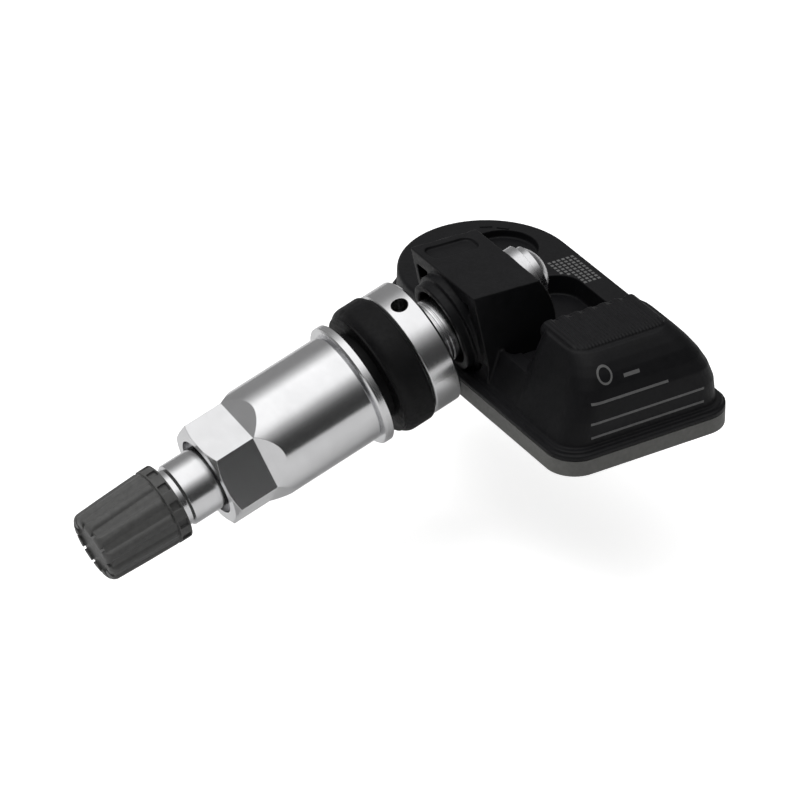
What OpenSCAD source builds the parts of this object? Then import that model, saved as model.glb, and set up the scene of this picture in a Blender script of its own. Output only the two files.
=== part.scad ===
// Clamp-in tyre pressure sensor with a swivelling metal valve.
// Frame: base underside on z = 0, housing along x, valve plane at x = 0, valve points to -y.

/* [Housing] */
// Length of the housing over its base
housing_l = 48.4; // [46.5:0.1:53]
// Width of the housing over its base
housing_w = 24.4; // [23.6:0.1:27]
// Corner radius at the square end
corner_r = 3.8; // [3:0.1:5]
// From the valve plane to the square end
valve_off = 25.5; // [25:0.1:28]
// Thickness of the grey base cover
cover_t = 2.0; // [1.6:0.1:2.6]
// Thickness of the black flange over the cover
flange_t = 1.1; // [0.8:0.1:1.6]
// Width of the ledge that the flange leaves outside the walls
ledge_w = 1.1; // [0.9:0.1:1.6]
// Wall thickness of the housing
wall_t = 1.3; // [1:0.1:1.6]
// Height of the low deck
deck_z = 7.6; // [7.3:0.1:8.5]
// Draft of the outer walls, in degrees
draft = 1.5; // [1:0.5:5]

/* [Electronics bay] */
// Height of the bay that stands over the deck
bay_z = 13.1; // [12:0.1:14.5]
// Length of the bay at its foot
bay_l = 13.8; // [12.8:0.1:14.2]
// Lean of the bay's side walls, in degrees
bay_lean = 19; // [15:0.5:21]
// Length of the ribbed grip pad along the housing
pad_l = 7.8; // [6.5:0.1:8.4]
// Width of the ribbed grip pad
pad_w = 13.2; // [12:0.1:14]
// Height of the pad over the bay
pad_t = 0.7; // [0.4:0.1:1]
// Number of ribs on the pad
pad_ribs = 7; // [5:1:9]

/* [Bracket] */
// Width of the bracket that holds the valve
bracket_w = 14.1; // [13.6:0.1:14.4]
// Height of the bracket's front edge
bracket_z = 15.8; // [15.2:0.1:17]
// Lean of the bracket's front face over the valve, in degrees
bracket_lean = 12.4; // [9:0.2:14]
// Distance of the bracket's front foot from the edge of the base
bracket_foot = 1.75; // [1.5:0.05:2]
// Thickness of the bracket's top plate
plate_t = 2.0; // [1.4:0.1:2.4]
// Thickness of the bracket's side wall next to the electronics bay
side_t = 1.9; // [1.4:0.1:2]
// Thickness of the bracket's side wall at the round end
side_thin = 0.8; // [0.7:0.1:1.2]
// Fall of the bracket's top plate towards its back, in degrees
plate_fall = 1.8; // [0:0.2:3]
// Depth of the hollow behind the bracket's front face
hollow_d = 2.8; // [2.2:0.1:3.2]
// Radius of the bracket's curved back, on which the washer slides
back_r = 11.4; // [10.8:0.1:11.8]
// Radius of the channel for the screwdriver
driver_r = 6.7; // [6:0.1:7.2]

/* [Valve swivel] */
// Distance of the pivot outside the edge of the base
pivot_out = 0.7; // [0.3:0.1:1.2]
// Height of the pivot
pivot_z = 8.4; // [8:0.1:9]
// Angle of the valve below level, in degrees
valve_tilt = 17.6; // [12:0.2:20]
// How far the valve swings up from here, in degrees
swing_up = 12; // [6:1:12]
// How far the valve swings down from here, in degrees
swing_down = 9; // [4:1:10]
// Radius of the stem's rounded nose, across the swivel axis
nose_r = 4.6; // [4.4:0.1:4.9]

/* [Valve stem] */
// Diameter of the stem
stem_d = 8.0; // [7.8:0.1:8.2]
// From the pivot to the inner face of the collar
collar_s = 3.1; // [2.8:0.1:3.6]
// Diameter of the collar
collar_d = 16.2; // [15.6:0.1:17]
// Thickness of the collar
collar_t = 3.85; // [3:0.05:4.2]
// Diameter of the cross hole in the collar
cross_d = 2.1; // [1.6:0.1:2.4]
// Turn of the cross hole about the valve, in degrees
cross_turn = 78; // [40:1:120]
// From the pivot to the tip of the stem
stem_s = 48.3; // [48:0.1:48.8]
// Diameter of the thread for the cap
cap_thread_d = 7.7; // [7.5:0.1:7.8]

/* [Seals and nut] */
// Diameter of the grommet's flange
grommet_d = 16.7; // [16:0.1:17.5]
// Thickness of the grommet's flange
grommet_t = 4.25; // [3.6:0.05:5]
// Diameter of the grommet's neck, which fills the hole in the rim
neck_d = 11.4; // [11:0.1:11.8]
// Length of the grommet's neck
neck_t = 1.5; // [0.8:0.1:1.8]
// Diameter of the thrust ring
ring_d = 15.8; // [15:0.1:16.2]
// Thickness of the thrust ring
ring_t = 1.25; // [0.8:0.05:1.4]
// Diameter of the nut's sleeve
sleeve_d = 14.0; // [13.4:0.1:14.6]
// Length of the nut's sleeve
sleeve_t = 14.7; // [13.5:0.1:15]
// Width of the nut's hexagon across its flats
hex_af = 12.0; // [11:0.5:13]
// Length of the nut's hexagon
hex_t = 5.6; // [5:0.1:6]
// Turn of the hexagon about the valve, in degrees
hex_turn = -11.3; // [-30:0.1:30]

/* [Cap] */
// From the pivot to the open end of the cap
cap_s = 39.5; // [39:0.1:40.2]
// Length of the cap
cap_t = 10.9; // [10.6:0.1:12]
// Diameter of the cap at its open end
cap_d = 9.7; // [9.4:0.1:10.4]
// Number of ribs round the cap
cap_ribs = 12; // [8:1:14]

/* [Valve core] */
// Diameter of the core's threaded body
core_d = 5.1; // [4.9:0.1:5.3]
// Diameter of the air chamber below the core
chamber_d = 3.8; // [3.5:0.1:4]
// Diameter of the core's pin
pin_d = 1.0; // [0.8:0.1:1.1]
// Travel of the pin
pin_travel = 1.0; // [0.6:0.1:1.1]

/* [Screw] */
// Diameter of the screw's shank
shank_d = 3.5; // [3:0.1:3.8]
// Diameter of the screw's head
head_d = 6.4; // [6:0.1:7]
// Height of the screw's head
head_t = 2.4; // [2:0.1:2.8]
// Diameter of the curved washer
washer_d = 7.6; // [7.2:0.1:8.6]
// Thickness of the curved washer at its middle
washer_t = 0.7; // [0.7:0.1:1.1]

/* [Electronics] */
// Thickness of the circuit board
board_t = 0.8; // [0.6:0.1:1]
// Diameter of the coin cell
cell_d = 12.5; // [12:0.1:12.8]
// Thickness of the coin cell
cell_t = 2.5; // [2:0.1:2.8]
// Thickness of the cell's welded tabs
tab_t = 0.15; // [0.1:0.05:0.2]
// Width of the cell's welded tabs
tab_w = 3.0; // [2:0.1:4]
// Thickness of the antenna coil's bundle
coil_t = 0.8; // [0.6:0.1:0.9]

/* [Hidden] */
$fn = 64;
hull_fn = 32;
eps = 0.01;

// Clearances
run_gap = 0.05;
fit_gap = 0.1;
free_gap = 0.4;

// Housing places
near_y = -housing_w / 2;
round_x = valve_off - housing_l + housing_w / 2;
corner_min = 1.2;
ledge_z = cover_t + flange_t;
step_w = 0.4;
step_t = 0.4;
wall_in = ledge_w + wall_t;
edge_r = 1.0;
deck_r = 0.6;
room_z = cover_t + 2.1;

// Electronics places
board_z = cover_t + 0.2;
board_top = board_z + board_t;
board_in = wall_in + 1.1;
post_r = 1.5;
rim_t = 0.8;
rim_w = 0.9;
cell_x = valve_off - wall_in - cell_d / 2 - 0.6;
cell_z = board_top + tab_t;
cell_room_z = cell_z + cell_t + tab_t + 0.3;
tab_gap = 0.25;
chip_l = 4.0;
chip_w = 3.6;
chip_t = 1.4;
seal_ring_r = 1.4;
coil_r = housing_w / 2 - board_in - 0.4 - coil_t / 2;
coil_gap = 1.4;
parts_x = round_x + coil_r + coil_t / 2 + coil_gap;
parts_y = housing_w / 2 - board_in - 0.5;
core_l = 6.4;
core_w = 2.2;
core_t = 0.5;
winding_l = 4.4;
crystal_l = 3.2;
crystal_w = 2.5;
crystal_t = 0.7;

// Pockets in the deck
valley_z = deck_z - 0.3;
pocket_y = 7.4;
pocket_x0 = -4.5;
pocket_r = 3.2;
pocket_x1 = cell_x - cell_d / 2 - 1.3;
port_turn = 121;
port_off = coil_r - coil_t / 2 - 3;
port_x = round_x + port_off * cos(port_turn);
port_y = port_off * sin(port_turn);
port_r = 4.2;
port_d = 1.3;
port_floor = deck_z - 1.1;
port_roof = 1;

// Electronics bay
bay_x0 = valve_off - ledge_w - bay_l;
bay_foot_y = -near_y - ledge_w;
lean_back = 0.1;
bay_rise = bay_z - ledge_z;
bay_r = corner_r - 0.8;
far_draw = 0.48;
end_draw = 0.38;
back_draw = 0.13;
bay_steps = [0, 0.3, 0.5, 0.66, 0.79, 0.89, 0.96, 1];
pad_sink = 1.4;
pad_shift = -0.65;

// Bracket and swivel
pivot_y = near_y - pivot_out;
spigot_r = stem_d / 2;
foot_y = near_y + bracket_foot;
front_y = foot_y - (bracket_z - ledge_z) * tan(bracket_lean);
seat_r = nose_r + run_gap;
lip_s = 0.4;
lip_w = 0.9;
lip_gap = 0.15;
lip_rise = 0.9;
well_d = 1.4;
boss_s = -0.8;
boss_w = 1.6;
boss_rise = 1.5;
slot_w = shank_d + 2 * fit_gap;
washer_s = back_r + washer_t;
swing_r = sqrt(pow(washer_s + head_t, 2) + pow(head_d / 2, 2)) + free_gap;
pocket_w = washer_d + 2 * free_gap;
pocket_z = ledge_z + 1.8;
recess_d = 0.4;
recess_w = 2.9;
recess_l = 6.6;

// Valve stations, from the pivot towards the cap
grommet_s = collar_s + collar_t;
neck_s = grommet_s + grommet_t;
ring_s = neck_s + neck_t;
sleeve_s = ring_s + ring_t;
hex_s = sleeve_s + sleeve_t;
nut_end_s = hex_s + hex_t;
cross_s = collar_s + collar_t / 2;
air_d = 2.6;
air_end_s = cross_s - cross_d / 2 - 0.1;
screw_hole_s = 2.2;
shoulder_s = cap_s - 0.9;
thread_start_s = cap_s + 0.3;
neck_cut = 0.15;
seat_s = 41.0;
chamber_s = 31.0;
core_hole_r = core_d / 2 + run_gap;

// Grips, grooves and edges
groove_w = 0.2;
groove_d = 0.15;
groove_pitch = 0.5;
groove_count = 4;
edge = 0.3;
nut_bore_r = stem_d / 2 + run_gap;
relief_r = 4.9;
relief_t = 1.6;
counter_r = 5.7;
counter_t = 9.0;

// Nut
run_out = 2.3;
end_chamfer = 0.9;

// Cap
cap_taper = 0.38;
cap_rib_r = 0.78;
cap_rib_out = 0.32;
cap_groove = 0.15;
cap_flange_t = 1.55;
window_w = 1.1;
window_d = 0.4;
window_rim = 0.2;
tip_recess_r = 3.1;
cap_bore_r = cap_thread_d / 2 + run_gap;
seal_t = 0.8;
seal_s = stem_s;
cap_end_s = cap_s + cap_t;

// Core
core_top_s = stem_s - 0.4;
core_floor_s = 43.0;
guide_t = 1.3;
core_wall = 0.6;
neck_r = 1.25;
neck_in_r = 0.75;
neck_end_s = 38.4;
pin_seal_t = 0.4;
pin_cup_t = 0.9;
pin_cup_r = 1.5;
pin_collar_t = 0.4;
pin_collar_r = 1.3;
pin_top_s = core_top_s + 0.1;
pin_collar_s = core_top_s - guide_t - pin_collar_t - run_gap;
spring_wire = 0.3;
spring_r = 1.0;
spring_turns = 4;

// Puts children on the valve's axis: local z runs from the pivot to the cap
module on_valve() {
    translate([0, pivot_y, pivot_z]) rotate([90 + valve_tilt, 0, 0]) children();
}

// A bar across the swivel axis, centred on x
module across(r, w) {
    translate([-w / 2, 0, 0]) rotate([0, 90, 0]) cylinder(r = r, h = w);
}

// Outline of the housing, drawn in by an inset
module plan(inset) {
    half = housing_w / 2 - inset;
    end_x = valve_off - inset;
    r = max(corner_r - inset, corner_min);
    translate([round_x, 0]) circle(r = half);
    translate([round_x, -half]) square([end_x - r - round_x, 2 * half]);
    translate([round_x, r - half]) square([end_x - round_x, 2 * (half - r)]);
    for (side = [-1, 1]) translate([end_x - r, side * (half - r)]) circle(r = r);
}

// Half section of the shell's wall: drafted, with a rounded top edge
module wall_profile() {
    half = housing_w / 2 - ledge_w;
    top = half - (deck_z - deck_r - ledge_z) * tan(draft);
    polygon([[0, ledge_z - eps], [half, ledge_z - eps], [top, deck_z - deck_r], [top - deck_r, deck_z], [0, deck_z]]);
    translate([top - deck_r, deck_z - deck_r]) circle(r = deck_r);
}

// Low part of the shell, turned at the round end and straight up to the bay
module low_shell() {
    translate([round_x, 0, 0]) rotate_extrude() intersection() {
        wall_profile();
        square(housing_w);
    }
    translate([round_x, 0, 0]) rotate([90, 0, 90]) linear_extrude(bay_x0 + corner_r - round_x) {
        wall_profile();
        mirror([1, 0]) wall_profile();
    }
}

// A rounded rectangle between two corners
module round_rect(x0, y0, x1, y1, r) {
    translate([x0 + r, y0]) square([x1 - x0 - 2 * r, y1 - y0]);
    translate([x0, y0 + r]) square([x1 - x0, y1 - y0 - 2 * r]);
    for (x = [x0 + r, x1 - r], y = [y0 + r, y1 - r]) translate([x, y]) circle(r = r);
}

// One level of the bay: its outline at a share of the rise, drawn in by a wall
module bay_level(t, wall) {
    translate([0, 0, ledge_z + t * bay_rise - eps]) linear_extrude(eps)
        round_rect(bay_x0 + wall + t * bay_rise * back_draw,
                   wall - bay_foot_y + t * bay_rise * tan(bay_lean),
                   valve_off - ledge_w - wall - pow(t, 3.5) * bay_rise * end_draw,
                   bay_foot_y - wall - pow(t, 2.2) * bay_rise * far_draw, bay_r);
}

// The bay that stands over the deck at the square end: near wall straight, far side and end rounded over
module bay_form(wall) {
    top = 1 - wall / bay_rise;
    hull($fn = hull_fn) for (t = bay_steps) bay_level(t * top, wall);
}

// Grip pad: a low cushion with a rounded lip, and ribs along the housing
module grip_pad() {
    pitch = (pad_w - 2 * edge_r) / (pad_ribs - 1);
    rib_r = pitch * 0.62;
    x0 = bay_x0 + bay_rise * back_draw + edge_r * 0.5;
    z1 = bay_z + pad_t * 0.6;
    near = pad_shift - pad_w / 2;
    far = pad_shift + pad_w / 2;
    hull($fn = hull_fn) {
        translate([0, 0, z1 - pad_sink]) linear_extrude(eps)
            round_rect(x0 + 0.4, near - pad_sink * tan(bay_lean), x0 + pad_l, far, 1.8);
        translate([0, 0, z1 - 0.5]) linear_extrude(eps) round_rect(x0 + 0.4, near, x0 + pad_l - 0.1, far, 1.8);
        translate([0, 0, z1 - 0.15]) linear_extrude(eps)
            round_rect(x0 + 0.4, near + 0.2, x0 + pad_l - 0.3, far - 0.2, 1.6);
        translate([0, 0, z1]) linear_extrude(eps) round_rect(x0 + 0.7, near + 0.6, x0 + pad_l - 0.7, far - 0.6, 1.4);
    }
    translate([0, 0, z1 - rib_r + 0.12])
        for (i = [0 : pad_ribs - 1])
            translate([x0, pad_shift + (i - (pad_ribs - 1) / 2) * pitch, 0])
                rotate([0, 90, 0]) cylinder(r = rib_r, h = pad_l - 1.4);
}

// Side view of the bracket, drawn in the plane across the swivel axis
module bracket_side() {
    back_y = pivot_y + back_r + 1;
    fall = (back_y - front_y) * tan(plate_fall);
    polygon([[foot_y, ledge_z - eps], [front_y, bracket_z], [back_y, bracket_z - fall], [back_y, ledge_z - eps]]);
}

// Extrudes a side view (y, z) across a width centred on the valve plane
module side_extrude(w) {
    translate([-w / 2, 0, 0]) rotate([90, 0, 90]) linear_extrude(w) children();
}

// Solid bracket, with its back curved about the pivot
module bracket_body() {
    intersection() {
        side_extrude(bracket_w) bracket_side();
        translate([0, pivot_y, pivot_z]) across(back_r, bracket_w + 2);
    }
}

// Hollow under the bracket's top plate, open to the front
module bracket_hollow() {
    z0 = ledge_z + 1.2;
    z1 = bracket_z - plate_t;
    lean = tan(bracket_lean);
    w = bracket_w - side_t - side_thin;
    translate([(side_thin - side_t) / 2, 0, 0]) side_extrude(w)
        polygon([[foot_y - 3, z0], [foot_y + hollow_d, z0],
                 [foot_y - (z1 - ledge_z) * lean + hollow_d, z1], [front_y - 3, z1]]);
}

// A slot-shaped outline with round top and bottom: half width, and how much higher than wide at each end
module slot_shape(r, rise) {
    for (side = [-1, 1]) translate([0, side * rise]) circle(r = r);
    translate([-r, -rise]) square([2 * r, 2 * rise]);
}

// Stepped boss round the valve's seat, with a raised lip
module seat_boss() {
    lip_r = spigot_r + lip_gap + lip_w;
    intersection() {
        on_valve() {
            translate([0, 0, -hollow_d - 2]) linear_extrude(hollow_d + 2 + boss_s)
                slot_shape(spigot_r + lip_gap + boss_w, boss_rise - lip_w);
            translate([0, 0, -hollow_d - 2]) linear_extrude(hollow_d + 2 + lip_s) slot_shape(lip_r, lip_rise);
        }
        translate([-bracket_w / 2, pivot_y - 5, ledge_z - eps]) cube([bracket_w, 12, bracket_z - ledge_z - 0.6]);
    }
}

// Room for the nose and for the screw at every angle of the valve
module swivel_cut() {
    lo = valve_tilt - swing_up - 1;
    hi = valve_tilt + swing_down + 1;
    half = slot_w / 2;
    far = back_r + 1;
    translate([0, pivot_y, pivot_z]) side_extrude(slot_w)
        polygon([[half * sin(lo), -half * cos(lo)],
                 [far * cos(lo) + half * sin(lo), far * sin(lo) - half * cos(lo)],
                 [far * cos(hi) - half * sin(hi), far * sin(hi) + half * cos(hi)],
                 [-half * sin(hi), half * cos(hi)]]);
    intersection() {
        translate([0, pivot_y, pivot_z]) across(seat_r, 2 * (spigot_r + fit_gap));
        on_valve() translate([-bracket_w / 2, -bracket_w / 2, -2 * seat_r])
            cube([bracket_w, bracket_w, 2 * seat_r + lip_s - well_d + eps]);
    }
    on_valve() translate([0, 0, lip_s - well_d]) linear_extrude(well_d + 2)
        slot_shape(spigot_r + lip_gap, lip_rise);
}

// What the shell's near wall loses beside the bracket, so that it leans as the bay's does
module near_lean() {
    rise = deck_z + 1 - ledge_z;
    translate([bracket_w / 2, 0, 0]) rotate([90, 0, 90]) linear_extrude(valve_off)
        polygon([[near_y - 1, ledge_z + edge], [lean_back - bay_foot_y + edge * tan(bay_lean), ledge_z + edge],
                 [lean_back + rise * tan(bay_lean) - bay_foot_y, ledge_z + rise], [near_y - 1, ledge_z + rise]]);
}

// Pockets in the deck behind the bracket: screw swing, driver channel, deep pocket and valley, port recess
module deck_pockets() {
    intersection() {
        translate([0, pivot_y, pivot_z]) across(swing_r, pocket_w);
        translate([-pocket_w / 2, pivot_y, pocket_z]) cube([pocket_w, 2 * swing_r, bracket_z]);
    }
    on_valve() mirror([0, 0, 1]) cylinder(r = driver_r, h = 40);
    translate([0, 0, valley_z]) linear_extrude(bracket_z)
        round_rect(0, foot_y + 3, bay_x0 + 1.5, pocket_y, 1.5);
    translate([0, 0, pocket_z]) linear_extrude(bracket_z) {
        round_rect(pocket_x0, foot_y + 6, pocket_x1, pocket_y, pocket_r);
        round_rect(0, foot_y + 1.6, pocket_x1, pocket_y, 1);
    }
    translate([port_x, port_y, port_floor]) cylinder(r = port_r, h = bracket_z);
    translate([port_x - port_r, foot_y + 8, port_floor]) cube([2 * port_r, port_y - foot_y - 8, bracket_z]);
}

// Shallow recess in the bracket's top plate, at its round end side
module plate_recess() {
    translate([0, front_y, bracket_z]) rotate([-plate_fall, 0, 0]) translate([0, 0, -recess_d])
        linear_extrude(recess_d + 1)
            round_rect(edge_r - bracket_w / 2, edge_r, edge_r - bracket_w / 2 + recess_w, edge_r + recess_l, edge_r);
}

// Rooms for the board, the chip, the cell and its tab
module inner_rooms() {
    head_x = 4;
    translate([0, 0, cover_t - eps]) linear_extrude(room_z - cover_t) plan(wall_in);
    translate([0, 0, room_z - 0.5]) linear_extrude(port_floor - port_roof - room_z + 0.5)
        intersection() {
            plan(wall_in + 0.3);
            translate([round_x - housing_w / 2, -housing_w / 2]) square([housing_w / 2 + head_x, housing_w]);
        }
    translate([cell_x, 0, cover_t]) cylinder(r = cell_d / 2 + 0.3, h = cell_room_z - cover_t);
    translate([cell_x - cell_d / 2 - tab_gap - tab_t - fit_gap, -tab_w / 2 - fit_gap, cover_t])
        cube([edge_r, tab_w + 2 * fit_gap, cell_room_z - cover_t]);
}

module housing() {
    color([0.13, 0.13, 0.14]) difference() {
        union() {
            translate([0, 0, cover_t]) linear_extrude(flange_t - step_t) plan(0);
            translate([0, 0, cover_t + flange_t - step_t]) linear_extrude(step_t) plan(step_w);
            difference() {
                low_shell();
                near_lean();
                deck_pockets();
            }
            difference() {
                bracket_body();
                bracket_hollow();
                plate_recess();
            }
            seat_boss();
            bay_form(0);
            grip_pad();
        }
        swivel_cut();
        inner_rooms();
        bay_form(wall_t);
        translate([port_x, port_y, 0]) cylinder(d = port_d, h = bracket_z);
    }
}

module base_cover() {
    color([0.6, 0.6, 0.58]) {
        linear_extrude(cover_t) plan(0);
        translate([0, 0, cover_t - eps]) linear_extrude(rim_t + eps) difference() {
            plan(wall_in + fit_gap);
            plan(wall_in + fit_gap + rim_w);
        }
    }
}

module circuit_board() {
    color([0.1, 0.35, 0.2]) translate([0, 0, board_z]) linear_extrude(board_t) plan(board_in);
    color([0.1, 0.35, 0.2]) translate([0, 0, cover_t]) linear_extrude(board_z - cover_t + eps)
        for (x = [round_x, 0, cell_x]) translate([x, 0]) circle(r = post_r);
}

module coin_cell() {
    lip = 0.5;
    color([0.75, 0.76, 0.78]) translate([cell_x, 0, cell_z]) {
        cylinder(d = cell_d - 2 * lip, h = cell_t);
        translate([0, 0, lip]) cylinder(d = cell_d, h = cell_t - lip);
    }
}

module cell_tab_bottom() {
    l = cell_d * 0.7;
    color([0.8, 0.8, 0.82]) translate([cell_x - l / 2, -tab_w / 2, board_top]) cube([l, tab_w, tab_t]);
}

module cell_tab_top() {
    x0 = cell_x - cell_d / 2 - tab_gap;
    l = cell_d * 0.7;
    color([0.8, 0.8, 0.82]) {
        translate([x0 - tab_t, -tab_w / 2, cell_z + cell_t]) cube([l, tab_w, tab_t]);
        translate([x0 - tab_t, -tab_w / 2, board_top]) cube([tab_t, tab_w, cell_t + 2 * tab_t]);
    }
}

module pressure_chip() {
    color([0.2, 0.2, 0.22]) translate([port_x, port_y, board_top]) difference() {
        translate([-chip_l / 2, -chip_w / 2, 0]) cube([chip_l, chip_w, chip_t]);
        translate([0, 0, chip_t - 0.5]) cylinder(d = port_d, h = 1);
    }
}

module port_seal() {
    z0 = board_top + chip_t;
    h = port_floor - port_roof - z0;
    color([0.85, 0.5, 0.25]) translate([port_x, port_y, z0]) difference() {
        cylinder(r = seal_ring_r, h = h);
        translate([0, 0, -1]) cylinder(d = port_d, h = h + 2);
    }
}

// The coil's windings are drawn as one round bundle
module antenna_coil() {
    color([0.85, 0.55, 0.3]) translate([round_x, 0, board_top + coil_t / 2])
        rotate_extrude() translate([coil_r, 0]) circle(d = coil_t);
}

module coil_core() {
    color([0.25, 0.25, 0.27]) translate([parts_x, -parts_y, board_top]) cube([core_l, core_w, core_t]);
}

module coil_winding() {
    color([0.75, 0.4, 0.2]) translate([parts_x + (core_l - winding_l) / 2, -parts_y, board_top + core_t])
        cube([winding_l, core_w, core_t]);
}

module crystal() {
    color([0.78, 0.78, 0.8]) translate([parts_x, parts_y - crystal_w, board_top])
        cube([crystal_l, crystal_w, crystal_t]);
}

// Half section of the stem, drawn as radius against distance from the pivot
module stem_profile() {
    r = stem_d / 2;
    c = collar_d / 2;
    t = cap_thread_d / 2;
    n = cap_thread_d / 2 - neck_cut;
    difference() {
        polygon([[0, -nose_r - 1], [r, -nose_r - 1], [r, collar_s], [c - edge, collar_s], [c, collar_s + edge],
                 [c, grommet_s - edge], [c - edge, grommet_s], [r, grommet_s], [r, shoulder_s - edge],
                 [r - edge, shoulder_s], [n, shoulder_s], [n, thread_start_s], [t, thread_start_s + neck_cut],
                 [t, stem_s - 0.5], [t - 0.5, stem_s], [0, stem_s]]);
        for (i = [1 : groove_count])
            translate([r - groove_d, collar_s - i * groove_pitch]) square([groove_d + 1, groove_w]);
    }
}

module valve_stem() {
    color([0.82, 0.82, 0.84]) on_valve() difference() {
        intersection() {
            rotate_extrude() stem_profile();
            union() {
                across(nose_r, stem_d + 2);
                cylinder(r = collar_d, h = stem_s + 1);
            }
        }
        translate([0, 0, seat_s]) cylinder(r = core_hole_r, h = stem_s);
        translate([0, 0, seat_s - 1]) cylinder(r1 = chamber_d / 2, r2 = core_hole_r, h = 1);
        translate([0, 0, chamber_s]) cylinder(d = chamber_d, h = seat_s - chamber_s);
        translate([0, 0, air_end_s]) cylinder(d = air_d, h = chamber_s);
        translate([0, 0, cross_s]) rotate([0, 0, cross_turn]) rotate([0, 90, 0]) cylinder(d = cross_d, h = collar_d);
        translate([0, 0, -nose_r - 1]) cylinder(d = shank_d, h = nose_r + 1 + screw_hole_s);
    }
}

module grommet() {
    r = grommet_d / 2;
    round_r = 1.4;
    color([0.1, 0.1, 0.1]) on_valve() rotate_extrude() difference() {
        union() {
            translate([0, grommet_s]) square([r - 0.6, grommet_t]);
            translate([0, grommet_s + 0.6]) square([r, grommet_t - 0.6 - round_r]);
            translate([0, neck_s - round_r - eps]) square([r - round_r, round_r + eps]);
            translate([r - round_r, neck_s - round_r]) circle(r = round_r);
            translate([r - 0.6, grommet_s + 0.6]) circle(r = 0.6);
            translate([0, neck_s - eps]) square([neck_d / 2, neck_t + eps]);
        }
        translate([-1, 0]) square([1 + stem_d / 2, stem_s]);
    }
}

module thrust_ring() {
    r = ring_d / 2;
    color([0.78, 0.78, 0.8]) on_valve() rotate_extrude()
        polygon([[nut_bore_r, ring_s], [r - 0.2, ring_s], [r, ring_s + 0.2], [r, sleeve_s - 0.2],
                 [r - 0.2, sleeve_s], [nut_bore_r, sleeve_s]]);
}

// Hexagon prism, given its width across the flats at each end
module hex_prism(af1, af2, h) {
    cylinder(d1 = af1 / cos(30), d2 = af2 / cos(30), h = h, $fn = 6);
}

// Sleeve with a hexagon at its end; the flats run out into the sleeve on slanted faces
module sleeve_nut() {
    r = sleeve_d / 2;
    color([0.8, 0.8, 0.82]) on_valve() difference() {
        intersection() {
            rotate_extrude() polygon([[0, sleeve_s], [r - edge, sleeve_s], [r, sleeve_s + edge],
                                      [r, nut_end_s - end_chamfer * tan(30)], [r - end_chamfer, nut_end_s],
                                      [0, nut_end_s]]);
            union() {
                translate([0, 0, sleeve_s - 1]) cylinder(r = r + 1, h = hex_s - run_out - sleeve_s + 1);
                rotate([0, 0, hex_turn]) {
                    translate([0, 0, hex_s - run_out - eps]) hex_prism(sleeve_d, hex_af, run_out + eps);
                    translate([0, 0, hex_s - eps]) hex_prism(hex_af, hex_af, hex_t + 1);
                }
            }
        }
        translate([0, 0, sleeve_s - 1]) cylinder(r = nut_bore_r, h = hex_s + hex_t);
        translate([0, 0, nut_end_s - relief_t]) cylinder(r = relief_r, h = relief_t + 1);
        translate([0, 0, sleeve_s - 1]) cylinder(r = counter_r, h = counter_t + 1);
    }
}

// Outer limit of the cap: flange, groove, then a body that narrows to a rounded tip
module cap_envelope() {
    r = cap_d / 2;
    tip = r - cap_taper;
    end_r = 0.9;
    rotate_extrude() {
        translate([0, cap_s]) square([r, cap_flange_t]);
        polygon([[0, cap_s], [r - cap_rib_out, cap_s + cap_flange_t - eps],
                 [r - cap_rib_out, cap_s + cap_flange_t + cap_groove],
                 [r, cap_s + cap_flange_t + 2 * cap_groove], [tip, cap_end_s - end_r],
                 [tip - end_r, cap_end_s - end_r], [0, cap_end_s - end_r]]);
        intersection() {
            translate([tip - end_r, cap_end_s - end_r]) circle(r = end_r);
            translate([0, cap_end_s - end_r - 1]) square([r, end_r + 1]);
        }
        translate([0, cap_end_s - end_r - eps]) square([tip - end_r, end_r + eps]);
    }
}

module valve_cap() {
    r = cap_d / 2;
    step = 360 / cap_ribs;
    core_r = r - cap_rib_out;
    lean = atan(cap_taper / cap_t);
    color([0.33, 0.33, 0.34]) on_valve() difference() {
        intersection() {
            cap_envelope();
            union() {
                translate([0, 0, cap_s]) cylinder(r = r, h = cap_flange_t);
                translate([0, 0, cap_s + cap_flange_t - eps])
                    cylinder(r1 = core_r, r2 = core_r - cap_taper, h = cap_t - cap_flange_t - 0.4);
                for (i = [0 : cap_ribs - 1]) rotate([0, 0, (i + 0.5) * step])
                    translate([r - cap_rib_r, 0, cap_s + 0.3])
                        rotate([0, -lean, 0]) cylinder(r = cap_rib_r, h = cap_t);
            }
        }
        for (i = [0 : cap_ribs - 1]) rotate([0, 0, i * step])
            translate([r - window_d, -window_w / 2, cap_s + window_rim])
                cube([1, window_w, cap_flange_t - 2 * window_rim]);
        translate([0, 0, cap_s - 1]) cylinder(r = cap_bore_r, h = seal_s + seal_t - cap_s + 1);
        translate([0, 0, cap_end_s - 0.3]) cylinder(r = tip_recess_r, h = 2);
    }
}

module cap_seal() {
    color([0.12, 0.12, 0.12]) on_valve() translate([0, 0, seal_s]) cylinder(r = cap_bore_r - run_gap, h = seal_t);
}

module core_body() {
    color([0.8, 0.65, 0.3]) on_valve() difference() {
        union() {
            translate([0, 0, core_floor_s]) cylinder(d = core_d, h = core_top_s - core_floor_s);
            translate([0, 0, neck_end_s]) cylinder(r = neck_r, h = core_floor_s - neck_end_s + eps);
        }
        translate([0, 0, core_floor_s + core_wall])
            cylinder(r = core_d / 2 - core_wall, h = core_top_s - guide_t - core_floor_s - core_wall);
        translate([0, 0, neck_end_s - 1]) cylinder(r = neck_in_r, h = core_floor_s - neck_end_s + 3);
        translate([0, 0, core_top_s - guide_t - 1]) cylinder(r = pin_d / 2 + run_gap, h = guide_t + 3);
        for (side = [-1, 1]) translate([side * 1.6, 0, core_top_s - guide_t - 1]) cylinder(r = 0.45, h = guide_t + 3);
    }
}

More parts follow.
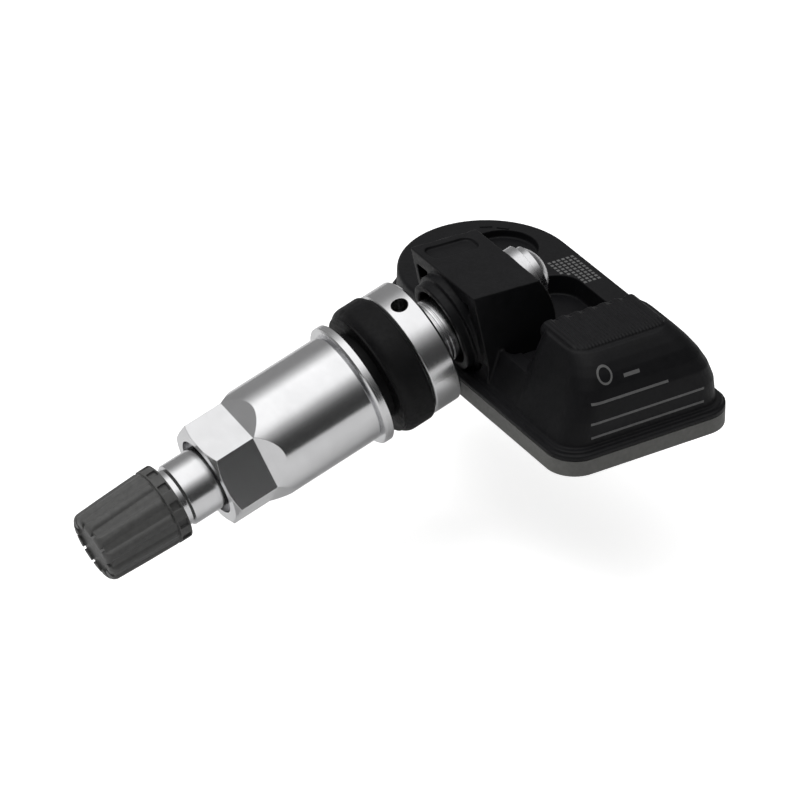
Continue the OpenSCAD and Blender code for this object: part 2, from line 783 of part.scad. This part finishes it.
module core_gasket() {
    color([0.7, 0.15, 0.1]) on_valve() difference() {
        union() {
            translate([0, 0, seat_s]) cylinder(r = core_hole_r - run_gap, h = core_floor_s - seat_s);
            translate([0, 0, seat_s - 0.9]) cylinder(r1 = chamber_d / 2 + 0.02, r2 = core_hole_r - run_gap, h = 0.9 + eps);
        }
        translate([0, 0, seat_s - 2]) cylinder(r = neck_r, h = 10);
    }
}

module core_pin() {
    cup_s = neck_end_s - pin_seal_t - pin_cup_t;
    color([0.85, 0.72, 0.4]) on_valve() {
        translate([0, 0, cup_s]) cylinder(d = pin_d, h = pin_top_s - cup_s);
        translate([0, 0, cup_s]) cylinder(r = pin_cup_r, h = pin_cup_t);
        translate([0, 0, pin_collar_s]) cylinder(r = pin_collar_r, h = pin_collar_t);
    }
}

module core_seal() {
    color([0.12, 0.12, 0.12]) on_valve() translate([0, 0, neck_end_s - pin_seal_t]) difference() {
        cylinder(r = pin_cup_r - 0.1, h = pin_seal_t);
        translate([0, 0, -1]) cylinder(d = pin_d, h = 3);
    }
}

// One turn ring of the spring stands for each coil
module core_spring() {
    s0 = core_floor_s + core_wall;
    rise = (pin_collar_s - s0 - spring_wire) / spring_turns;
    steps = 14;
    color([0.75, 0.75, 0.78]) on_valve() translate([0, 0, s0 + spring_wire / 2])
        for (i = [0 : spring_turns * steps - 1]) {
            a = i * 360 / steps;
            hull($fn = 6) {
                rotate([0, 0, a]) translate([spring_r, 0, rise * i / steps]) sphere(d = spring_wire);
                rotate([0, 0, a + 360 / steps]) translate([spring_r, 0, rise * (i + 1) / steps]) sphere(d = spring_wire);
            }
        }
}

module clamp_screw() {
    socket_af = 2.5;
    color([0.78, 0.78, 0.8]) on_valve() mirror([0, 0, 1]) difference() {
        union() {
            translate([0, 0, -screw_hole_s]) cylinder(d = shank_d, h = washer_s + screw_hole_s);
            translate([0, 0, washer_s]) cylinder(d = head_d, h = head_t * 0.4);
            translate([0, 0, washer_s + head_t * 0.4])
                rotate_extrude() intersection() {
                    translate([0, -head_d * 0.4]) circle(r = head_d * 0.4 + head_t * 0.6);
                    square([head_d / 2, head_t]);
                }
        }
        translate([0, 0, washer_s + head_t - 1.5]) cylinder(d = socket_af * 2 / sqrt(3), h = 3, $fn = 6);
    }
}

module curved_washer() {
    color([0.75, 0.75, 0.77]) on_valve() difference() {
        mirror([0, 0, 1]) translate([0, 0, back_r - 1.4]) cylinder(d = washer_d, h = washer_t + 1.4);
        across(back_r + run_gap, washer_d + 2);
        mirror([0, 0, 1]) cylinder(d = shank_d + 2 * run_gap, h = washer_s + 5);
    }
}

housing();
base_cover();
circuit_board();
coin_cell();
cell_tab_top();
cell_tab_bottom();
pressure_chip();
port_seal();
antenna_coil();
coil_core();
coil_winding();
crystal();
valve_stem();
grommet();
thrust_ring();
sleeve_nut();
valve_cap();
cap_seal();
core_body();
core_gasket();
core_pin();
core_seal();
core_spring();
clamp_screw();
curved_washer();
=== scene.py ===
import math

import bmesh
import bpy
from mathutils import Matrix, Vector
from mathutils.bvhtree import BVHTree


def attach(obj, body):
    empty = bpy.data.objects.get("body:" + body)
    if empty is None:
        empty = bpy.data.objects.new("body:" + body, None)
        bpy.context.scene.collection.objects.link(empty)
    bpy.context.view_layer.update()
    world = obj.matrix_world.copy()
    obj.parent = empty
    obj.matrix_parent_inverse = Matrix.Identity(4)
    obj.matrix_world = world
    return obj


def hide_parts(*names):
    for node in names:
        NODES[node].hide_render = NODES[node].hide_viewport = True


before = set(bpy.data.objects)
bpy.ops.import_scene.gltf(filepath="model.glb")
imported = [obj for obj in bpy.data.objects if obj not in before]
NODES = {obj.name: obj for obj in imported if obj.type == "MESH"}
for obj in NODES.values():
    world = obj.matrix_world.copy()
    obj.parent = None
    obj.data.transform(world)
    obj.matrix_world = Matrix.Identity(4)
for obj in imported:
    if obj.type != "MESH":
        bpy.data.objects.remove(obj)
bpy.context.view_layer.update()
MM = 0.001
TO_MM = 1000.0

# The valve's direction, from the pivot towards the cap, as in part.scad
TILT = math.radians(17.6)
AXIS = Vector((0.0, -math.cos(TILT), -math.sin(TILT)))


# Materials

class Mat:
    """A small builder for a procedural material. Its coordinates are the object's own, in millimetres."""

    NOISE_LOW, NOISE_HIGH = 0.3, 0.7

    def __init__(self, name, color, rough, metal=0.0, spec=0.5):
        self.m = bpy.data.materials.new(name)
        self.m.use_nodes = True
        self.t = self.m.node_tree
        self.b = self.t.nodes["Principled BSDF"]
        self.b.inputs["Base Color"].default_value = (*color, 1.0)
        self.b.inputs["Roughness"].default_value = rough
        self.b.inputs["Metallic"].default_value = metal
        self.b.inputs["Specular IOR Level"].default_value = spec
        self.color = color
        self.normal = None
        coord = self.t.nodes.new("ShaderNodeTexCoord")
        scale = self.t.nodes.new("ShaderNodeVectorMath")
        scale.operation = "SCALE"
        scale.inputs["Scale"].default_value = TO_MM
        self.t.links.new(coord.outputs["Object"], scale.inputs[0])
        self.mm = scale.outputs[0]

    def link(self, a, b):
        self.t.links.new(a, b)

    def node(self, kind, **values):
        n = self.t.nodes.new(kind)
        for k, v in values.items():
            setattr(n, k, v)
        return n

    def noise(self, scale, detail=3.0):
        n = self.node("ShaderNodeTexNoise")
        n.inputs["Scale"].default_value = scale
        n.inputs["Detail"].default_value = detail
        n.inputs["Roughness"].default_value = 0.55
        self.link(self.mm, n.inputs["Vector"])
        return n.outputs["Fac"]

    def along(self, scale, detail):
        """Noise that changes only along the valve: turning marks."""
        dot = self.node("ShaderNodeVectorMath", operation="DOT_PRODUCT")
        self.link(self.mm, dot.inputs[0])
        dot.inputs[1].default_value = AXIS
        n = self.node("ShaderNodeTexNoise", noise_dimensions="1D")
        n.inputs["Scale"].default_value = scale
        n.inputs["Detail"].default_value = detail
        self.link(dot.outputs["Value"], n.inputs["W"])
        return n.outputs["Fac"]

    def ramp(self, fac, lo, hi):
        r = self.node("ShaderNodeMapRange")
        r.inputs["To Min"].default_value = lo
        r.inputs["To Max"].default_value = hi
        r.inputs["From Min"].default_value = self.NOISE_LOW
        r.inputs["From Max"].default_value = self.NOISE_HIGH
        self.link(fac, r.inputs["Value"])
        return r.outputs["Result"]

    def rough(self, fac, lo, hi):
        """Roughness from lo to hi, by fac."""
        self.link(self.ramp(fac, lo, hi), self.b.inputs["Roughness"])

    def tint(self, fac, lo, hi):
        """The base colour times lo to hi, by fac."""
        mix = self.node("ShaderNodeMix", data_type="RGBA")
        mix.inputs["A"].default_value = (*[min(c * lo, 1) for c in self.color], 1)
        mix.inputs["B"].default_value = (*[min(c * hi, 1) for c in self.color], 1)
        self.link(self.ramp(fac, 0.0, 1.0), mix.inputs["Factor"])
        self.link(mix.outputs["Result"], self.b.inputs["Base Color"])

    def bump(self, fac, distance, strength):
        """Relief by fac, its distance in millimetres, on top of any normal set before."""
        n = self.node("ShaderNodeBump")
        n.inputs["Strength"].default_value = strength
        n.inputs["Distance"].default_value = distance * MM
        self.link(fac, n.inputs["Height"])
        if self.normal:
            self.link(self.normal, n.inputs["Normal"])
        self.normal = n.outputs["Normal"]
        self.link(self.normal, self.b.inputs["Normal"])

    def math(self, operation, a, b=None):
        n = self.node("ShaderNodeMath", operation=operation)
        for value, socket in zip((a, b), n.inputs):
            if value is None:
                continue
            if isinstance(value, float):
                socket.default_value = value
            else:
                self.link(value, socket)
        return n.outputs[0]

    def soft_edges(self, radius):
        n = self.node("ShaderNodeBevel", samples=4)
        n.inputs["Radius"].default_value = radius * MM
        self.normal = n.outputs["Normal"]
        self.link(self.normal, self.b.inputs["Normal"])


def pad_ridges(m, pitch, z_low, x0, x1):
    """Fine ridges along the housing, on the grip pad only."""
    parts = m.node("ShaderNodeSeparateXYZ")
    m.link(m.mm, parts.inputs[0])
    wave = m.math("SINE", m.math("MULTIPLY", parts.outputs["Y"], 2 * math.pi / pitch))
    high = m.math("GREATER_THAN", parts.outputs["Z"], z_low)
    left = m.math("GREATER_THAN", parts.outputs["X"], x0)
    right = m.math("LESS_THAN", parts.outputs["X"], x1)
    inside = m.math("MULTIPLY", high, m.math("MULTIPLY", left, right))
    m.bump(m.math("MULTIPLY", wave, inside), 0.03, 0.9)


def housing_nylon():
    m = Mat("housing_nylon", (0.0075, 0.0075, 0.0085), 0.5, spec=0.22)
    m.tint(m.noise(0.5), 0.86, 1.18)
    m.rough(m.noise(2.2, 2.0), 0.4, 0.54)
    m.bump(m.noise(9.0), 0.02, 0.5)
    pad_ridges(m, pitch=0.47, z_low=13.25, x0=12.3, x1=20.6)
    return m.m


def grey_plastic(name, color, grain=0.015):
    m = Mat(name, color, 0.45, spec=0.35)
    m.tint(m.noise(1.4, 4.0), 0.88, 1.08)
    m.rough(m.noise(2.5, 2.0), 0.4, 0.55)
    m.bump(m.noise(8.0), grain, 0.5)
    return m.m


def turned(name, color=(0.83, 0.83, 0.84), lo=0.14, hi=0.24, marks=14.0, depth=0.006):
    """Lathe-turned aluminium, its turning marks across the valve's axis."""
    m = Mat(name, color, 0.25, metal=1.0)
    m.soft_edges(0.09)
    line = m.along(marks, 3.0)
    m.rough(line, lo, hi)
    m.tint(m.noise(0.35), 0.95, 1.03)
    m.bump(line, depth, 0.6)
    m.bump(m.noise(6.0, 2.0), 0.003, 0.25)
    return m.m


def rubber(name, color=(0.006, 0.006, 0.0065)):
    m = Mat(name, color, 0.62, spec=0.2)
    m.soft_edges(0.1)
    m.tint(m.noise(0.9, 4.0), 0.85, 1.25)
    m.rough(m.noise(1.8), 0.45, 0.65)
    m.bump(m.noise(5.0, 4.0), 0.03, 0.6)
    return m.m


def steel(name, color=(0.72, 0.72, 0.73)):
    m = Mat(name, color, 0.26, metal=1.0)
    m.soft_edges(0.07)
    m.rough(m.noise(3.0), 0.18, 0.34)
    m.tint(m.noise(1.2), 0.93, 1.04)
    m.bump(m.noise(10.0, 2.0), 0.004, 0.4)
    return m.m


def plain(name, color, rough=0.45, metal=0.0):
    m = Mat(name, color, rough, metal=metal)
    m.tint(m.noise(1.5), 0.9, 1.1)
    m.rough(m.noise(3.0, 2.0), rough - 0.08, rough + 0.1)
    m.bump(m.noise(7.0, 2.0), 0.01, 0.4)
    return m.m


MATS = {
    "housing": housing_nylon(),
    "base_cover": grey_plastic("base_grey", (0.155, 0.155, 0.147)),
    "circuit_board": plain("board_green", (0.03, 0.17, 0.07)),
    "coin_cell": steel("cell_steel"),
    "cell_tab_top": steel("tab_steel", (0.68, 0.68, 0.66)),
    "cell_tab_bottom": steel("tab_steel_low", (0.68, 0.68, 0.66)),
    "pressure_chip": plain("chip_case", (0.03, 0.03, 0.034)),
    "port_seal": plain("seal_silicone", (0.6, 0.3, 0.12), 0.5),
    "antenna_coil": plain("coil_enamel", (0.55, 0.24, 0.1), 0.3, 1.0),
    "coil_core": plain("core_ferrite", (0.05, 0.05, 0.055), 0.4),
    "coil_winding": plain("winding_enamel", (0.5, 0.2, 0.09), 0.3, 1.0),
    "crystal": steel("crystal_can", (0.75, 0.74, 0.7)),
    "valve_stem": turned("stem_turned"),
    "grommet": rubber("grommet_rubber"),
    "thrust_ring": turned("ring_turned", (0.84, 0.84, 0.85), 0.18, 0.28),
    "sleeve_nut": turned("nut_turned", (0.85, 0.85, 0.86), 0.12, 0.2, 10.0, 0.008),
    "valve_cap": grey_plastic("cap_grey", (0.1, 0.1, 0.098), 0.03),
    "cap_seal": rubber("seal_rubber"),
    "core_body": plain("core_brass", (0.7, 0.5, 0.2), 0.3, 1.0),
    "core_gasket": plain("gasket_red", (0.35, 0.04, 0.03), 0.5),
    "core_pin": plain("pin_brass", (0.72, 0.55, 0.25), 0.3, 1.0),
    "core_seal": rubber("core_rubber"),
    "core_spring": steel("spring_steel"),
    "clamp_screw": steel("screw_steel", (0.74, 0.74, 0.75)),
    "curved_washer": steel("washer_steel", (0.76, 0.76, 0.77)),
}

for name, obj in NODES.items():
    obj.data.materials.clear()
    obj.data.materials.append(MATS[name])
    obj.data.shade_smooth()


def new_object(name, bm, mat, body, smooth=True):
    mesh = bpy.data.meshes.new(name)
    bm.to_mesh(mesh)
    bm.free()
    mesh.materials.append(mat)
    for p in mesh.polygons:
        p.use_smooth = smooth
    obj = bpy.data.objects.new(name, mesh)
    bpy.context.scene.collection.objects.link(obj)
    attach(obj, body)


def apply_modifiers(obj):
    deps = bpy.context.evaluated_depsgraph_get()
    mesh = bpy.data.meshes.new_from_object(obj.evaluated_get(deps))
    obj.modifiers.clear()
    old = obj.data
    obj.data = mesh
    bpy.data.meshes.remove(old)


# Housing and cap, softened as moulded parts are

WELD_MM = 0.002
SOFTEN = 0.5


def moulded_copy(node, name, voxel, smooth, triangles):
    """A copy of a CAD solid with its edges softened as a moulded part's are, voxel in mm."""
    src = NODES[node]
    obj = src.copy()
    obj.data = src.data.copy()
    obj.name = name
    obj.data.name = name
    for key in list(obj.keys()):
        del obj[key]
    obj.parent = None
    bpy.context.scene.collection.objects.link(obj)
    weld = obj.modifiers.new("weld", "WELD")
    weld.merge_threshold = WELD_MM * MM
    remesh = obj.modifiers.new("remesh", "REMESH")
    remesh.mode = "VOXEL"
    remesh.voxel_size = voxel * MM
    remesh.use_smooth_shade = True
    soft = obj.modifiers.new("soft", "SMOOTH")
    soft.factor = SOFTEN
    soft.iterations = smooth
    apply_modifiers(obj)
    count = len(obj.data.polygons) * 2
    if count > triangles:
        cut = obj.modifiers.new("thin", "DECIMATE")
        cut.ratio = triangles / count
        apply_modifiers(obj)
    obj.data.shade_smooth()
    return obj


HOUSING_VOXEL = 0.13
housing = moulded_copy("housing", "housing_shell", voxel=HOUSING_VOXEL, smooth=4, triangles=180000)
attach(housing, "housing")
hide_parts("housing")

CAP_VOXEL = 0.07
cap = moulded_copy("valve_cap", "cap_body", voxel=CAP_VOXEL, smooth=2, triangles=90000)
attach(cap, "cap")
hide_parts("valve_cap")

# Marks on the housing: plain lines, a ring and a field of dots stand where lettering would be

shell = BVHTree.FromPolygons([v.co.copy() for v in housing.data.vertices],
                             [tuple(p.vertices) for p in housing.data.polygons])
LIFT = 0.02
DECK_LOW = 7.4
START_FAR = 40.0
MAX_STEP = 0.5
DOWN = Vector((0, 0, -1))
INWARD = Vector((-1, 0, 0))
BAR_STEP = 0.5
LINE_H = 0.32
# Lines from y to y at a height, the last one with a thickness of its own
LINES = ((-7.5, 3.1, 8.3), (-7.8, 8.0, 5.9), (-7.8, 8.0, 4.1))
DASH = (-2.6, -0.4, 10.4, 0.4)
# The ring's y and z, its inner and its outer radius
RING = (-5.0, 11.0, 0.75, 1.0)
RING_STEPS = 28
DOT, DOT_PITCH = 0.4, 0.66
DOTS_X, DOTS_Y = 10, 6
DOTS_AT = (-6.8, 6.4)
# Raised bars: x, y and turn in degrees
RAISED_AT = ((-18.4, 4.6, 62), (-17.0, 6.2, 45))
RAISED_Z = 7.62
RAISED_SIZE = (1.5, 0.45, 0.16)


def drape(bm, points, along, lowest=0.0):
    """A face through points (mm), each laid on the housing along a direction, if none lies too low."""
    verts = []
    for p in points:
        start = (Vector(p) - along * START_FAR) * MM
        hit = shell.ray_cast(start, along)[0]
        if hit is None or hit.z < lowest * MM:
            return
        verts.append(hit - along * LIFT * MM)
    depths = [v.dot(along) for v in verts]
    if max(depths) - min(depths) > MAX_STEP * MM:
        return
    bm.faces.new([bm.verts.new(v) for v in verts])


def end_bar(bm, y0, y1, z, height):
    steps = max(2, int((y1 - y0) / BAR_STEP))
    lo, hi = z - height / 2, z + height / 2
    for i in range(steps):
        a = y0 + (y1 - y0) * i / steps
        b = y0 + (y1 - y0) * (i + 1) / steps
        drape(bm, [(0, a, lo), (0, b, lo), (0, b, hi), (0, a, hi)], INWARD)


def end_ring(bm, y, z, r0, r1):
    for i in range(RING_STEPS):
        a, b = (2 * math.pi * k / RING_STEPS for k in (i, i + 1))
        corners = ((r0, a), (r1, a), (r1, b), (r0, b))
        drape(bm, [(0, y + r * math.cos(t), z + r * math.sin(t)) for r, t in corners], INWARD)


def deck_square(bm, x, y, side):
    h = side / 2
    corners = [(x - h, y - h, 0), (x + h, y - h, 0), (x + h, y + h, 0), (x - h, y + h, 0)]
    drape(bm, corners, DOWN, DECK_LOW)


def laser_marks():
    bm = bmesh.new()
    for y0, y1, z in LINES:
        end_bar(bm, y0, y1, z, LINE_H)
    end_bar(bm, *DASH)
    end_ring(bm, *RING)
    for i in range(DOTS_X):
        for j in range(DOTS_Y):
            deck_square(bm, DOTS_AT[0] + i * DOT_PITCH, DOTS_AT[1] + j * DOT_PITCH, DOT)
    grey = grey_plastic("mark_grey", (0.16, 0.16, 0.16), 0.01)
    new_object("laser_marks", bm, grey, "housing")


def raised_marks():
    bm = bmesh.new()
    size = Matrix.Diagonal((*[s * MM for s in RAISED_SIZE], 1))
    for x, y, turn in RAISED_AT:
        place = Matrix.Translation(Vector((x, y, RAISED_Z)) * MM)
        spin = Matrix.Rotation(math.radians(turn), 4, "Z")
        bmesh.ops.create_cube(bm, size=1.0, matrix=place @ spin @ size)
    new_object("raised_marks", bm, MATS["housing"], "housing", smooth=False)


laser_marks()
raised_marks()

# Floor, low enough for the cap at every angle of the valve

FLOOR_Z = -18.8
FLOOR_HALF = 0.25
FLOOR_GREY = 0.82
FLOOR_SHOWN = 0.75


def floor_material():
    """Pale grey, with light of its own for camera rays, so it looks white and keeps the shadow."""
    mat = bpy.data.materials.new("floor_white")
    mat.use_nodes = True
    tree = mat.node_tree
    tree.nodes.clear()
    out = tree.nodes.new("ShaderNodeOutputMaterial")
    diffuse = tree.nodes.new("ShaderNodeBsdfDiffuse")
    diffuse.inputs["Color"].default_value = (FLOOR_GREY, FLOOR_GREY, FLOOR_GREY, 1)
    glow = tree.nodes.new("ShaderNodeEmission")
    glow.inputs["Color"].default_value = (1, 1, 1, 1)
    path = tree.nodes.new("ShaderNodeLightPath")
    seen = tree.nodes.new("ShaderNodeMath")
    seen.operation = "MAXIMUM"
    share = tree.nodes.new("ShaderNodeMath")
    share.operation = "MULTIPLY"
    share.inputs[1].default_value = FLOOR_SHOWN
    add = tree.nodes.new("ShaderNodeAddShader")
    tree.links.new(path.outputs["Is Camera Ray"], seen.inputs[0])
    tree.links.new(path.outputs["Is Transmission Ray"], seen.inputs[1])
    tree.links.new(seen.outputs[0], share.inputs[0])
    tree.links.new(share.outputs[0], glow.inputs["Strength"])
    tree.links.new(diffuse.outputs[0], add.inputs[0])
    tree.links.new(glow.outputs[0], add.inputs[1])
    tree.links.new(add.outputs[0], out.inputs["Surface"])
    return mat


def make_floor():
    bm = bmesh.new()
    bmesh.ops.create_grid(bm, x_segments=2, y_segments=2, size=FLOOR_HALF)
    mesh = bpy.data.meshes.new("floor")
    bm.to_mesh(mesh)
    bm.free()
    floor = bpy.data.objects.new("floor", mesh)
    floor.location.z = FLOOR_Z * MM
    bpy.context.scene.collection.objects.link(floor)
    mesh.materials.append(floor_material())


make_floor()

# World: bright overhead, dark towards the horizon, with a glow to -x

LOW, HIGH, LEAN, LEFT_GLOW = -1.0, 1.1, 0.06, -0.22
# Each stop is a height, with LEAN times x added, and the brightness there
STOPS = ((-1.0, 0.05), (0.25, 0.04), (0.45, 0.06), (0.58, 0.12), (0.68, 0.27), (0.77, 0.45), (0.84, 0.75),
         (0.92, 1.08), (1.1, 1.1))


def fill_ramp(ramp):
    stops = [((w - LOW) / (HIGH - LOW), v) for w, v in STOPS]
    first, last = ramp.elements
    first.position, first.color = stops[0][0], (*[stops[0][1]] * 3, 1)
    last.position, last.color = stops[-1][0], (*[stops[-1][1]] * 3, 1)
    for position, value in stops[1:-1]:
        ramp.elements.new(position).color = (value, value, value, 1)


def make_world():
    world = bpy.data.worlds.new("studio")
    bpy.context.scene.world = world
    world.use_nodes = True
    tree = world.node_tree
    tree.nodes.clear()
    out = tree.nodes.new("ShaderNodeOutputWorld")
    sky = tree.nodes.new("ShaderNodeBackground")
    sky.inputs["Color"].default_value = (1, 1, 1, 1)
    white = tree.nodes.new("ShaderNodeBackground")
    white.inputs["Color"].default_value = (1, 1, 1, 1)
    coord = tree.nodes.new("ShaderNodeTexCoord")
    parts = tree.nodes.new("ShaderNodeSeparateXYZ")
    ramp = tree.nodes.new("ShaderNodeValToRGB")
    fill_ramp(ramp.color_ramp)
    span = tree.nodes.new("ShaderNodeMapRange")
    span.inputs["From Min"].default_value = LOW
    span.inputs["From Max"].default_value = HIGH
    lean = tree.nodes.new("ShaderNodeMath")
    lean.operation = "MULTIPLY_ADD"
    lean.inputs[1].default_value = LEAN
    left = tree.nodes.new("ShaderNodeMath")
    left.operation = "MULTIPLY"
    left.use_clamp = True
    left.inputs[1].default_value = LEFT_GLOW
    total = tree.nodes.new("ShaderNodeMath")
    mix = tree.nodes.new("ShaderNodeMixShader")
    path = tree.nodes.new("ShaderNodeLightPath")
    tree.links.new(coord.outputs["Generated"], parts.inputs[0])
    tree.links.new(parts.outputs["X"], lean.inputs[0])
    tree.links.new(parts.outputs["Z"], lean.inputs[2])
    tree.links.new(lean.outputs[0], span.inputs["Value"])
    tree.links.new(span.outputs[0], ramp.inputs["Fac"])
    tree.links.new(parts.outputs["X"], left.inputs[0])
    tree.links.new(ramp.outputs["Color"], total.inputs[0])
    tree.links.new(left.outputs[0], total.inputs[1])
    tree.links.new(total.outputs[0], sky.inputs["Strength"])
    tree.links.new(path.outputs["Is Camera Ray"], mix.inputs["Fac"])
    tree.links.new(sky.outputs[0], mix.inputs[1])
    tree.links.new(white.outputs[0], mix.inputs[2])
    tree.links.new(mix.outputs[0], out.inputs["Surface"])


make_world()

# Lamps, for the matt surfaces only

LAMP_TARGET = Vector((0, -0.015, 0))


def area(name, loc, size, watts):
    lamp = bpy.data.lights.new(name, "AREA")
    lamp.shape = "DISK"
    lamp.size = size
    lamp.energy = watts
    obj = bpy.data.objects.new(name, lamp)
    bpy.context.scene.collection.objects.link(obj)
    obj.location = Vector(loc)
    obj.rotation_euler = (LAMP_TARGET - Vector(loc)).to_track_quat("-Z", "Y").to_euler()
    obj.visible_glossy = False


area("key", (-0.05, -0.15, 0.45), size=0.3, watts=0.7)
area("side", (-0.2, -0.4, 0.15), size=0.2, watts=0.22)

# Camera, fitted to the photo: a long lens, its centre in mm from the origin across the picture

FOCAL_PX, PX_PER_MM, PICTURE_PX, SENSOR = 5500.0, 8.297, 800, 36
AZ, EL = math.radians(58.57), math.radians(32.07)
SHIFT_X, SHIFT_Y = 16.185, 5.236


def make_camera():
    right = Vector((math.cos(AZ), math.sin(AZ), 0))
    up = Vector((-math.sin(AZ) * math.sin(EL), math.cos(AZ) * math.sin(EL), math.cos(EL)))
    back = Vector((math.sin(AZ) * math.cos(EL), -math.cos(AZ) * math.cos(EL), math.sin(EL)))
    data = bpy.data.cameras.new("camera")
    data.sensor_width = SENSOR
    data.lens = FOCAL_PX / PICTURE_PX * SENSOR
    data.clip_start = 0.01
    camera = bpy.data.objects.new("camera", data)
    turn = Matrix((right, up, back)).transposed().to_4x4()
    turn.translation = (back * (FOCAL_PX / PX_PER_MM) - right * SHIFT_X - up * SHIFT_Y) * MM
    camera.matrix_world = turn
    bpy.context.scene.collection.objects.link(camera)
    bpy.context.scene.camera = camera


make_camera()
bpy.context.scene.view_settings.view_transform = "Standard"
